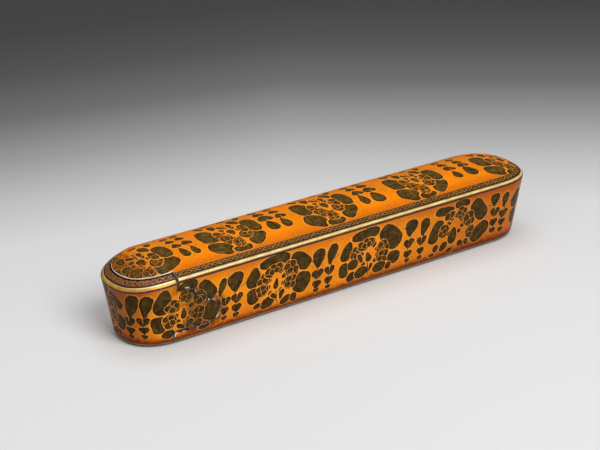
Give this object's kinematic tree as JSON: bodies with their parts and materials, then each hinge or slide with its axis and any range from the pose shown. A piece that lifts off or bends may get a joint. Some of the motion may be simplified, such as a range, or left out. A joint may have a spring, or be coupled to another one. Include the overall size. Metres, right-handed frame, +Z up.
{
  "type": "sliding pen box",
  "caption": "Long lacquered pen box with rounded ends and a domed top; a drawer slides out of one end with a hinged-lid inkwell, reed pens and a penknife inside.",
  "frame": {"origin": "middle of the flat underside, on the table", "axes": "+X along the box away from the drawer's head, +Y across it, +Z up"},
  "size_m": [0.24, 0.0442, 0.04],
  "materials": {
    "lacquer_case": "gloss",
    "lacquer_top": "gloss",
    "lacquer_head": "gloss",
    "lacquer_dark": "satin",
    "lacquer_inner": "satin",
    "brass": "satin",
    "silk": "matte",
    "reed": "satin",
    "reed_dark": "satin",
    "bone": "satin",
    "steel": "satin"
  },
  "bodies": {
    "case": {"case_shell": "lacquer_case", "case_base": "lacquer_dark", "case_cover": "lacquer_top"},
    "drawer": {"drawer_head": "lacquer_head", "head_base": "lacquer_dark", "tray_floor": "lacquer_inner", "tray_wall": "lacquer_inner", "tray_divider": "lacquer_inner", "inkwell_body": "brass", "inkwell_collar": "brass", "hinge_pin": "brass", "silk_wad": "silk", "reed_pen_broad": "reed", "reed_pen_fine": "reed_dark", "knife_handle": "bone", "knife_ferrule": "brass", "knife_blade": "steel", "nib_rest": "bone", "ink_spoon": "brass"},
    "lid": {"inkwell_lid": "brass", "lid_knob": "brass"}
  },
  "joints": [
    {"name": "drawer_slide", "type": "slide", "parent": "case", "child": "drawer", "axis": [-1, 0, 0], "range_m": [0, 0.19]},
    {"name": "inkwell_lid_hinge", "type": "hinge", "parent": "drawer", "child": "lid", "pos_m": [-0.076, 0, 0.0182], "axis": [0, 1, 0], "range_deg": [0, 100]}
  ]
}
